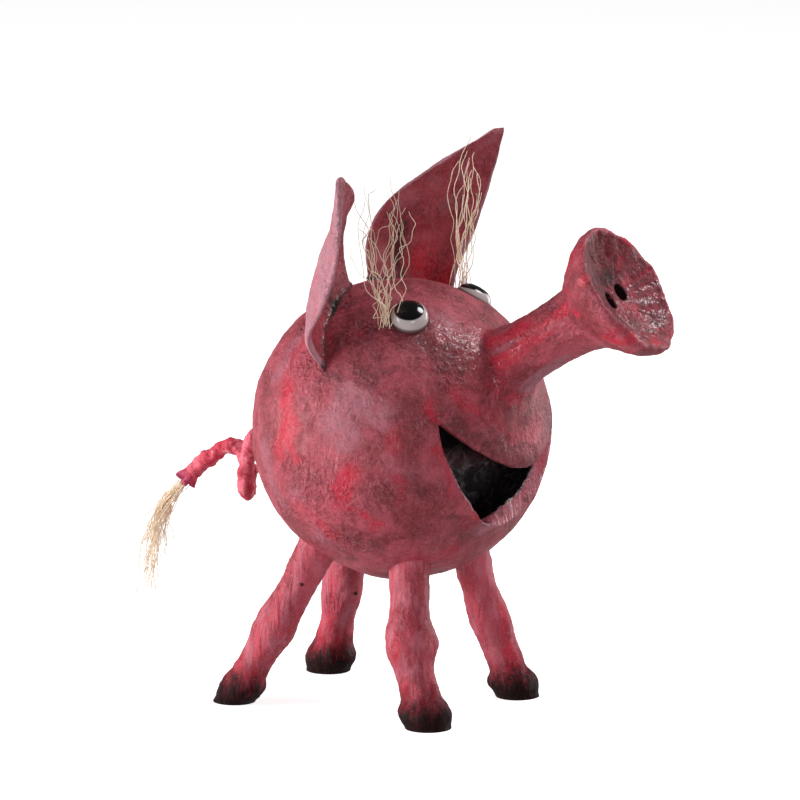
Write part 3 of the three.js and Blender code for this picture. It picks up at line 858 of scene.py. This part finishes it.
def body_mesh():
    """The field's surface as a mesh."""
    count = np.ceil((BODY_HIGH - BODY_LOW) / BODY_VOXEL).astype(int)
    axes = [BODY_LOW[k] + BODY_VOXEL * np.arange(count[k]) for k in range(3)]
    field = body_field(np.meshgrid(*axes, indexing="ij"))
    grid = openvdb.FloatGrid(FIELD_LIMIT)
    grid.copyFromArray(np.clip(field, -FIELD_LIMIT, FIELD_LIMIT).astype(np.float32))
    points, quads = grid.convertToQuads(0.0)
    return thin_inside(make_mesh("body_shape", points * BODY_VOXEL + BODY_LOW, quads.tolist()))


def socket_shading(p):
    """Painted shade on the ball round each eye."""
    total = np.zeros(len(p))
    for side in (-1, 1):
        axis = unit(on_side(EYE_PLACE, side))
        from_axis = np.linalg.norm(p - np.outer(p @ axis, axis), axis=1)
        total = np.maximum(total, smoothstep(*SOCKET_SHADE_EDGE, from_axis) * (p @ axis > 0))
    return total


def body():
    mesh = body_mesh()
    p = mesh_points(mesh)
    n = mesh_normals(mesh)
    r, azimuth, elevation = mouth_angles(p.T)
    share = np.clip(azimuth / MOUTH_HALF_WIDTH, -1.0, 1.0)
    high, along, side = snout_local(p.T)
    around = np.arctan2(side, high)
    from_axis = np.hypot(high, side)
    to_nostril = from_nostril(high, side)

    on_snout = smoothstep(*SNOUT_EDGE, r)
    # Painted shade, with some red, round the crease where the snout leaves the ball
    seam_shade = peak(r - SEAM_RADIUS, SEAM_WIDTH)
    seam_shade = seam_shade * smoothstep(*SEAM_EDGE, from_axis) * smoothstep(*SEAM_START, along)
    corner = peak(from_corner(around), 0.5)
    dish = smoothstep(*DISH_START, along) * smoothstep(*DISH_EDGE, from_axis + 6.0 * corner)
    dish = dish * (n @ snout_axis() > 0.2)
    inside = smoothstep(*HOLLOW_EDGE, r)
    # Painted shade: the hollow's top, as the camera sees it, is kept black
    hollow_shade = inside * smoothstep(*SHADOW_EDGE, p @ VIEW_UP)

    lumps = 0.7 * noise(p, 30.0, 1) + 0.5 * noise(p, 13.0, 2) + 0.32 * layered(p, 6.0, 3)
    rays = noise(np.stack([from_axis / 9.0, 14.0 * np.cos(around), 14.0 * np.sin(around)], axis=1), 1.6, 20)
    clear = smoothstep(NOSTRIL_RADIUS + 0.5, NOSTRIL_RADIUS + 4.0, to_nostril)
    wrinkles = dish * clear * (0.6 * layered(p, 7.0, 5) + 0.7 * rays)
    from_pits = np.linalg.norm(p - seen_on_ball(*PITS), axis=1)
    pitted = -0.8 * peak(from_pits, PITS_SIZE) * np.maximum(noise(p, 3.0, 7), 0)
    streaks = noise(np.stack([along / 4.0, high, side], axis=1), 6.0, 11)
    fine_streaks = noise(np.stack([along / 5.0, high, side], axis=1), 2.8, 19)
    ridges = on_snout * (1.0 - dish) * (0.6 * streaks + 0.3 * fine_streaks)
    roughen(mesh, lumps + ridges + wrinkles + pitted + inside * 1.3 * layered(p, 9.0, 9))

    dish_shade_side = smoothstep(*DISH_SHADE_SIDE, high - side)
    hidden = smoothstep(0.15, -0.2, n @ VIEW_BACK) * (1.0 - on_snout)
    bell = smoothstep(*BELL_START, along) * on_snout
    stem = on_snout * (1.0 - bell)
    stem_below = stem * smoothstep(0.2, -0.7, np.cos(around))
    # A spot of painted shade in the dish
    from_dish_shade_spot = np.hypot(p @ VIEW_RIGHT - DISH_SHADE_SPOT[0], p @ VIEW_UP - DISH_SHADE_SPOT[1])
    dish_shade_spot = dish * peak(from_dish_shade_spot, DISH_SHADE_SPOT_SIZE)
    # Painted shade round each eye
    socket = socket_shading(p)
    by_upper_lip = smoothstep(0.0, 4.0, elevation - mouth_middle(share))
    under_lip = by_upper_lip * smoothstep(*UNDER_LIP_EDGE, r) * (r < 74.0)
    lip = (1.0 - by_upper_lip) * smoothstep(*LIP_INNER_EDGE, r) * smoothstep(*LIP_OUTER_EDGE, r)
    lip = lip * (np.abs(share) < 0.98)
    chips = lip * smoothstep(0.45, 0.65, noise(p, 4.0, 18))
    over_lip = peak(elevation - upper_lip(share) - 4.0, 6.0) * (np.abs(azimuth) < MOUTH_HALF_WIDTH)
    nostrils = smoothstep(NOSTRIL_RADIUS + 0.8, NOSTRIL_RADIUS, to_nostril)
    nostrils = nostrils * smoothstep(*NOSTRIL_START, along)

    red = strokes(p, RED_STROKES) + hidden * smoothstep(0.1, 0.7, noise(p, 34.0, 12)) * 0.9
    red = red + (stem - 0.6 * stem_below) * (0.45 + 0.5 * streaks + 0.4 * fine_streaks) + 0.5 * seam_shade
    red = red + bell * (1.0 - dish) * smoothstep(-0.2, 0.6, streaks) * 0.7
    # The dish is painted darker, greyer and redder on its shaded side and paler on its lit side: painted
    # shade and painted light
    red = red + dish * (0.45 + 0.4 * dish_shade_side + smoothstep(0.0, 0.7, noise(p, 12.0, 13)) * 0.5 - 0.4 * rays)
    red = red + 0.35 * lip
    grey = strokes(p, GREY_AND_SHADE_STROKES) + hidden * smoothstep(0.2, 0.8, noise(p, 30.0, 14)) * 0.8
    grey = grey + 0.5 * stem_below * smoothstep(-0.1, 0.5, fine_streaks)
    grey = grey + dish * (0.75 + 0.7 * dish_shade_side + 0.4 * noise(p, 10.0, 15) + 0.6 * rays) + dish_shade_spot
    grey = grey + 0.5 * socket + chips + 0.25 * seam_shade + 0.8 * over_lip
    pale = strokes(p, PALE_STROKES) + hidden * smoothstep(0.1, 0.8, noise(p, 40.0, 16)) * 0.8
    pale = pale + stem * smoothstep(0.2, 0.6, -streaks) * 0.8
    pale = pale + dish * (1.0 - dish_shade_side) * (0.5 + 0.35 * noise(p, 9.0, 17)) + 0.7 * lip
    # Painted shade: the dish's inside, more on its shaded side, a spot in it and a ring round each eye
    shaded = dish * (0.26 + 0.27 * dish_shade_side) + 0.3 * dish_shade_spot + 0.45 * socket
    dark = np.maximum(np.maximum(under_lip, nostrils) + hollow_shade, shaded)
    # The hollow's lower wall takes the painted sheen and glints
    smoke = inside - 0.9 * hollow_shade
    gloss = 0.15 + strokes(p, GLOSS_STROKES) + dish * 0.75 * (1.0 - dish_shade_side)
    gloss = gloss + 0.9 * (inside - hollow_shade) + 0.7 * lip
    mark(mesh, red=red, grey=grey, pale=pale, dark=dark, smoke=smoke, gloss=gloss)
    material = paint("body_paint", ROSE, DEEP_ROSE, ("dark", "smoke", "gloss"))
    place(mesh, "body", "body_paint", material)


# Ears

EAR_ROLL_PLACE = 0.04
EAR_ROLL_WIDTH = 0.05
EAR_EDGE_POWER = 24  # the higher, the squarer its edge
OUTER_RIM = (0.08, 0.02)  # shares of its width
INNER_RIM = (0.97, 0.99)
BEAD_EDGE = (3.6, 1.7)  # above the ball
LOW_EDGE = (16.0, 4.0)


def ear(name, side):
    rows, columns = 150, 64
    *edges, most_bow = EARS[name]
    inner, outer = (spline([on_side(p, side) for p in edge], rows) for edge in edges)
    back = on_side(EAR_BOW_DIRECTION, side)
    across = 0.5 - 0.5 * np.cos(np.linspace(0.0, math.pi, columns))
    hump = 4.0 * across * (1.0 - across)
    half = 0.5 * (EAR_EDGE_THICKNESS + (EAR_THICKNESS - EAR_EDGE_THICKNESS) * hump)
    half = half + EAR_ROLL * peak(across - EAR_ROLL_PLACE, EAR_ROLL_WIDTH)
    half = half * np.sqrt(1.0 - np.abs(2.0 * across - 1.0) ** EAR_EDGE_POWER + 1e-4)
    rings = []
    for i in range(rows):
        up = i / (rows - 1)
        bow = most_bow * math.sin(math.pi * up) * (1.0 - EAR_BOW_FADE * up)
        middle = outer[i] + np.outer(across, inner[i] - outer[i]) + np.outer(bow * hump, back)
        tip = math.sqrt(max(1.0 - (max(up - EAR_TIP_START, 0.0) / (1.0 - EAR_TIP_START)) ** 2, 0.02))
        front = middle - np.outer(tip * half, back)
        behind = (middle + np.outer(tip * half, back))[::-1]
        ring = np.vstack([front, behind])
        rings.append(ring if side < 0 else ring[::-1])
    rings = np.array(rings)
    deep = np.linalg.norm(rings, axis=2, keepdims=True)
    rings = rings * np.maximum(1.0, (BALL_RADIUS - SUNK) / deep)
    mesh = make_mesh("ear", *tube(rings))
    p = mesh_points(mesh)

    on_ring = np.concatenate([across, across[::-1]])
    is_front = np.concatenate([np.ones(columns), np.zeros(columns)])
    if side > 0:
        on_ring, is_front = on_ring[::-1], is_front[::-1]
    ends = [0.5, 0.5]
    where = np.concatenate([np.tile(on_ring, rows), ends])
    front = np.concatenate([np.tile(is_front, rows), ends])
    up = np.concatenate([np.repeat(np.linspace(0.0, 1.0, rows), 2 * columns), [0.0, 1.0]])
    height = np.linalg.norm(p, axis=1) - BALL_RADIUS
    bead = smoothstep(*BEAD_EDGE, height + 1.0 * noise(p, 4.0, 26)) * front
    lumps = 0.5 * noise(p, 16.0, 21) + 0.3 * noise(p, 7.0, 22) + 0.14 * layered(p, 3.0, 23)
    roughen(mesh, lumps + bead * (1.0 + 0.4 * noise(p, 2.5, 27)))

    rim = smoothstep(*OUTER_RIM, where) + smoothstep(*INNER_RIM, where)
    streaks = noise(p * np.array([1.0, 1.0, 0.3]), 6.0, 24)
    # Painted shade down the deepest valley of each ear's cup, low down
    cup_valley_shade = peak(where - 0.57 - 0.25 * up, 0.09) * smoothstep(0.55, 0.3, up)
    inside = front * (1.0 - rim)
    low_outside = smoothstep(0.5, 0.2, up) * smoothstep(0.6, 0.4, where)
    red = inside * (0.55 * low_outside + 0.3 * streaks + 0.4 * EAR_SHADE[name])
    red = red + (1.0 - front) * 0.2 * (1.0 + streaks)
    shade = EAR_SHADE[name] + EAR_LOW_SHADE[name] * smoothstep(*LOW_EDGE, height)
    grey = inside * (shade + 0.3 * noise(p, 14.0, 25) + cup_valley_shade) + bead
    pale = np.maximum(rim, (1.0 - front) * (0.75 + 0.4 * streaks))
    pale = pale + inside * (0.03 + 0.35 * smoothstep(0.0, 0.7, noise(p @ EAR_BRUSHING, 7.0, 28)))
    mark(mesh, red=red, grey=grey, pale=pale, dark=0.6 * bead + 0.55 * cup_valley_shade * inside, gloss=0.6 * bead)
    place(mesh, f"ear_{name}", "ear_paint", EAR_PAINT)


# Legs

def leg(name):
    route, girth, knob = LEGS[name]
    rows, columns = 170, 56
    line = spline(route, rows)
    share = np.linspace(0.0, 1.0, rows)
    tangent = unit(np.gradient(line, axis=0))
    level = smoothstep(HOOF_SHARE, 1.0, share)[:, None]
    normal = unit(tangent * (1.0 - level) + np.array([0.0, 0.0, -1.0]) * level)
    swell = 1.0 + (knob - 1.0) * peak(share - KNEE_SHARE, KNEE_REACH)
    radius = smooth_rows(LEG_RADII, share) * girth * swell
    turn = turns(columns)
    ahead = unit(np.array([1.0, 0.0, 0.0]) - normal * normal[:, :1])
    aside = np.cross(normal, ahead)
    round_about = np.cos(turn)[:, None] * ahead[:, None] + np.sin(turn)[:, None] * aside[:, None]
    rings = line[:, None] + radius[:, None, None] * round_about
    mesh = make_mesh("leg", *tube(rings))
    p = mesh_points(mesh)
    seed = LEG_SEED + SEEDS_PER_LEG * list(LEGS).index(name)
    along = np.concatenate([np.repeat(share, columns), [0.0, 1.0]])
    bones = noise(p * np.array([1.0, 1.0, 0.35]), 8.0, seed)
    amount = 0.7 * bones + 0.4 * noise(p, 9.0, seed + 1) + 0.35 * layered(p, 4.0, seed + 2)
    roughen(mesh, amount * smoothstep(FOOT + 0.2, FOOT + 4.0, p[:, 2]))

    streaks = layered(p * np.array([1.0, 1.0, 0.2]), 3.6, seed + 3)
    ragged = along + 0.015 * streaks + 0.02 * noise(p, 6.0, seed + 4)
    knee = peak(along - KNEE_SHARE, 0.13)
    fetlock = smoothstep(0.66, 0.82, ragged)
    red = 0.05 + 0.4 * streaks + 0.25 * knee + 0.6 * fetlock
    # The top of each leg, under the ball, is washed grey: painted shade
    grey = 0.25 * noise(p, 14.0, seed + 5) + 0.75 * fetlock + 0.25 * smoothstep(0.15, 0.0, along)
    pale = smoothstep(-0.1, 0.6, -streaks) * 0.6 * (1.0 - fetlock)
    dark = smoothstep(0.68, 0.97, ragged)
    # The nail holes are not cut: a dark dot is painted in each, as painted shade
    if name in NAIL_HOLES:
        right, up = NAIL_HOLES[name]
        away = np.hypot(p @ VIEW_RIGHT - right, p @ VIEW_UP - up)
        dark = np.maximum(dark, smoothstep(*NAIL_EDGE, away) * (mesh_normals(mesh) @ VIEW_BACK > 0))
    mark(mesh, red=red, grey=grey, pale=pale, dark=dark)
    place(mesh, f"leg_{name}", "leg_paint", LEG_PAINT)


# Tail

def tail():
    rows, columns = 320, 28
    line = spline(TAIL_ROUTE, rows)
    share = np.linspace(0.0, 1.0, rows)
    radii = TAIL_RADIUS + 0.35 * np.sin(60.0 * share) * np.sin(23.0 * share + 1.0)
    petals = np.sin(5.0 * turns(columns))
    frayed = smoothstep(0.95, 1.0, share)[:, None] * (0.8 + 1.2 * petals)
    mesh = make_mesh("tail", *tube(rings_along(line, radii[:, None] + frayed, columns, (0.0, 1.0, 0.0))))
    p = mesh_points(mesh)
    roughen(mesh, 0.7 * noise(p, 4.5, 71) + 0.6 * layered(p, 2.4, 72))
    along = np.concatenate([np.repeat(share, columns), [0.0, 1.0]])
    end = smoothstep(0.93, 0.985, along + 0.02 * noise(p, 2.0, 73))
    pale = smoothstep(0.1, 0.8, noise(p, 3.0, 74)) * 0.7
    mark(mesh, red=0.25 + 0.6 * noise(p, 5.0, 75), grey=end, pale=pale)
    material = paint("tail_paint", TAIL_RED, TAIL_DEEP, (), wash=MAGENTA, light=TAIL_LIGHT)
    place(mesh, "tail", "tail_paint", material)


# Eyes

def eye(name, side):
    rows, columns = 60, 72
    outline = spline(EYE_PROFILE, rows)
    axis = unit(on_side(EYE_PLACE, side))
    across = unit(np.cross(axis, (0.0, 0.0, 1.0)))
    aside = np.cross(axis, across)
    turn = turns(columns)
    round_about = np.outer(np.cos(turn), across) + np.outer(np.sin(turn), aside)
    rings = np.array([(h - EYE_SINK[name]) * axis + r * round_about for r, h in outline[:-1]])
    mesh = make_mesh("eye", *tube(rings))
    p = mesh_points(mesh)
    right, near = PUPIL_SHIFT[name]
    off = p - np.outer(p @ axis, axis) - right * VIEW_RIGHT - near * VIEW_BACK
    from_axis = np.linalg.norm(off - np.outer(off @ axis, axis), axis=1)
    pupil = smoothstep(PUPIL_RADIUS + PUPIL_BLUR, PUPIL_RADIUS - PUPIL_BLUR, from_axis)
    mark(mesh, dark=pupil, grime=smoothstep(*BASE_SHADE_EDGE, p @ axis))
    place(mesh, f"eye_{name}", "eye_gloss", EYE_GLOSS)


def eye_gloss():
    s = Shader("eye_gloss")
    white = s.mix(s.noise(120.0, detail=3.0), EYE_CLOUD, EYE_WHITE)
    # Painted shade round the eye's foot
    white = s.mix(s.math("MULTIPLY", s.mask("grime"), 0.85), white, EYE_BASE_SHADE)
    s.finish("Base Color", s.mix(s.mask("dark"), white, PUPIL_BLACK))
    s.finish("Roughness", 0.12)
    return s.material


# Straw fibres

def strand(points, radius):
    taper = radius * (1.0 - FIBRE_TAPER * np.linspace(0.0, 1.0, len(points)))
    return tube(rings_along(points, taper, FIBRE_SIDES, FIBRE_TURN))


def bundle(node, strands, tones):
    """One mesh of many fibres, each with its own tone."""
    points, faces, tone = [], [], []
    for (p, f), shade in zip(strands, tones):
        start = sum(len(x) for x in points)
        points.append(p)
        faces.extend([[i + start for i in face] for face in f])
        tone.append(np.full(len(p), shade))
    mesh = make_mesh(node, np.vstack(points), faces)
    mark(mesh, pale=np.concatenate(tone))
    place(mesh, node, "straw_fibre", STRAW)


def wavy(rng, count, amount):
    """Sideways wander along a fibre, none at its root."""
    t = np.linspace(0.0, 1.0, count)
    total = np.zeros((count, 3))
    for waves in FIBRE_WAVES:
        phase = rng.uniform(0.0, 2.0 * math.pi, 3)
        total += np.sin(2.0 * math.pi * waves * t[:, None] + phase) * rng.uniform(0.2, 1.0, 3) / waves
    return amount * (total - total[0]) * np.minimum(t * 3.0, 1.0)[:, None]


def brow_tuft(name, side):
    rng = np.random.default_rng(BROW_SEED[name])
    t = np.linspace(0.0, 1.0, BROW_POINTS)[:, None]
    outward = unit(on_side(BROW_ROOTS[name], side))
    root = outward * (BALL_RADIUS - BROW_ROOT_DEPTH)
    strands = []
    for _ in range(BROW_FIBRES[name]):
        beside = rng.normal(0.0, 1.0, 3) * BROW_ROOT_SPREAD[name]
        beside = beside - (beside @ outward) * outward
        start = root + beside * (1.0 - 0.8 * smoothstep(0.0, 0.5, t))
        height = rng.uniform(*FIBRE_REACH["brow"]) * BROW_HEIGHT[name]
        fan = np.append(rng.normal(0.0, 0.5, 2) * BROW_SPREAD[name], 0.0)
        path = start + t * np.array([BROW_LEAN[name], 0.0, height]) + t**0.7 * fan
        path = path + wavy(rng, BROW_POINTS, BROW_WAVE[name])
        strands.append(strand(path, BROW_THINNING * FIBRE_RADIUS * rng.uniform(*FIBRE_GIRTH)))
    bundle(f"brow_tuft_{name}", strands, rng.uniform(0.5, 1.0, BROW_FIBRES[name]))


def tassel():
    rng = np.random.default_rng(TASSEL_SEED)
    line = spline(TASSEL_ROUTE, TASSEL_STEPS)
    steps = np.linspace(0.0, 1.0, TASSEL_STEPS)
    t = np.linspace(0.0, 1.0, TASSEL_POINTS)
    strands = []
    for i in range(TASSEL_FIBRES):
        reach = rng.uniform(*FIBRE_REACH["tassel"])
        middle = np.stack([np.interp(t * reach, steps, line[:, k]) for k in range(3)], axis=1)
        stray = TASSEL_STRAY_SPREAD if i % TASSEL_STRAYS == 0 else 1.0
        fan = rng.normal(0.0, 0.45, 3) * TASSEL_SPREAD * stray
        start = rng.normal(0.0, 1.0, 3)
        path = middle + start + t[:, None] ** 2.0 * fan + wavy(rng, TASSEL_POINTS, TASSEL_WAVE)
        strands.append(strand(path, TASSEL_THINNING * FIBRE_RADIUS * rng.uniform(*FIBRE_GIRTH)))
    bundle("tail_tassel", strands, rng.uniform(0.0, 0.8, TASSEL_FIBRES))


def straw():
    s = Shader("straw_fibre")
    tone = s.mix(s.mask("pale"), STRAW_DULL, STRAW_PALE)
    s.finish("Base Color", s.mix(s.noise(300.0, detail=3.0), tone, STRAW_GOLD))
    s.finish("Roughness", 0.6)
    return s.material


EAR_PAINT = paint("ear_paint", EAR_ROSE, EAR_DEEP, ("dark", "gloss"), light=PEARL)
LEG_PAINT = paint(
    "leg_paint", LEG_ROSE, LEG_DEEP, ("dark",), (1.0, 1.0, 0.2), wash=LEG_WASH, light=LEG_LIGHT, crumple=0.7
)
EYE_GLOSS = eye_gloss()
STRAW = straw()

body()
for name, side in (("right", -1), ("left", 1)):
    ear(name, side)
    eye(name, side)
    brow_tuft(name, side)
for name in LEGS:
    leg(name)
tail()
tassel()


# Studio

FLOOR_HALF = 14.0  # in metres
FLOOR_GLOW = 0.8
FLOOR_ROUGHNESS = 0.9
SKY_FADE = 0.5
FARTHEST_SEEN = 100.0  # in metres


def floor():
    corners = [(x * FLOOR_HALF, y * FLOOR_HALF, 0) for x, y in ((-1, -1), (1, -1), (1, 1), (-1, 1))]
    mesh = make_mesh("floor", corners, [[0, 1, 2, 3]])
    s = Shader("floor")
    s.finish("Base Color", FLOOR_GREY)
    s.finish("Emission Color", WHITE)
    s.finish("Emission Strength", FLOOR_GLOW)
    s.finish("Roughness", FLOOR_ROUGHNESS)
    mesh.materials.append(s.material)
    piece = add_object("floor", mesh)
    piece.visible_diffuse = False
    piece.visible_glossy = False


def aim(piece, direction):
    piece.rotation_mode = "QUATERNION"
    piece.rotation_quaternion = Vector(direction).to_track_quat("-Z", "Y")


def softbox(name, right, up, back, size, power):
    """A round light, placed by the camera's axes, in metres from the ball's centre."""
    lamp = bpy.data.lights.new(name, "AREA")
    lamp.shape = "DISK"
    lamp.size = size
    lamp.energy = power
    piece = add_object(name, lamp)
    away = right * VIEW_RIGHT + up * VIEW_UP + back * VIEW_BACK
    piece.location = BALL_CENTRE * MM + away
    aim(piece, -away)


def world(below, above):
    """A white sky, brighter from the floor's side than from above."""
    sky = bpy.data.worlds.new("studio")
    bpy.context.scene.world = sky
    sky.use_nodes = True
    nodes, links = sky.node_tree.nodes, sky.node_tree.links
    split = nodes.new("ShaderNodeSeparateXYZ")
    links.new(nodes.new("ShaderNodeTexCoord").outputs["Generated"], split.inputs[0])
    fade = nodes.new("ShaderNodeMapRange")
    fill(fade, From_Min=-SKY_FADE, From_Max=SKY_FADE, To_Min=below, To_Max=above)
    links.new(split.outputs["Z"], fade.inputs["Value"])
    background = nodes["Background"]
    fill(background, Color=(*WHITE, 1.0))
    links.new(fade.outputs["Result"], background.inputs["Strength"])


def camera():
    lens = bpy.data.cameras.new("camera")
    lens.sensor_width = SENSOR
    lens.lens = SENSOR * CAMERA_DISTANCE / FRAME_WIDTH
    lens.clip_end = FARTHEST_SEEN
    piece = add_object("camera", lens)
    target = BALL_CENTRE + FRAME_MIDDLE[0] * VIEW_RIGHT + FRAME_MIDDLE[1] * VIEW_UP
    piece.location = (target + CAMERA_DISTANCE * VIEW_BACK) * MM
    aim(piece, -VIEW_BACK)
    bpy.context.scene.camera = piece


floor()
softbox("key", right=-1.50, up=0.00, back=0.10, size=1.0, power=47.5)
softbox("rim", right=1.15, up=0.25, back=-0.90, size=0.8, power=7.5)
softbox("overhead", right=0.70, up=1.05, back=-0.10, size=0.55, power=11.0)
softbox("fill", right=0.55, up=-0.15, back=1.55, size=0.5, power=7.5)
world(below=0.52, above=0.07)
camera()
bpy.context.scene.view_settings.view_transform = "Standard"
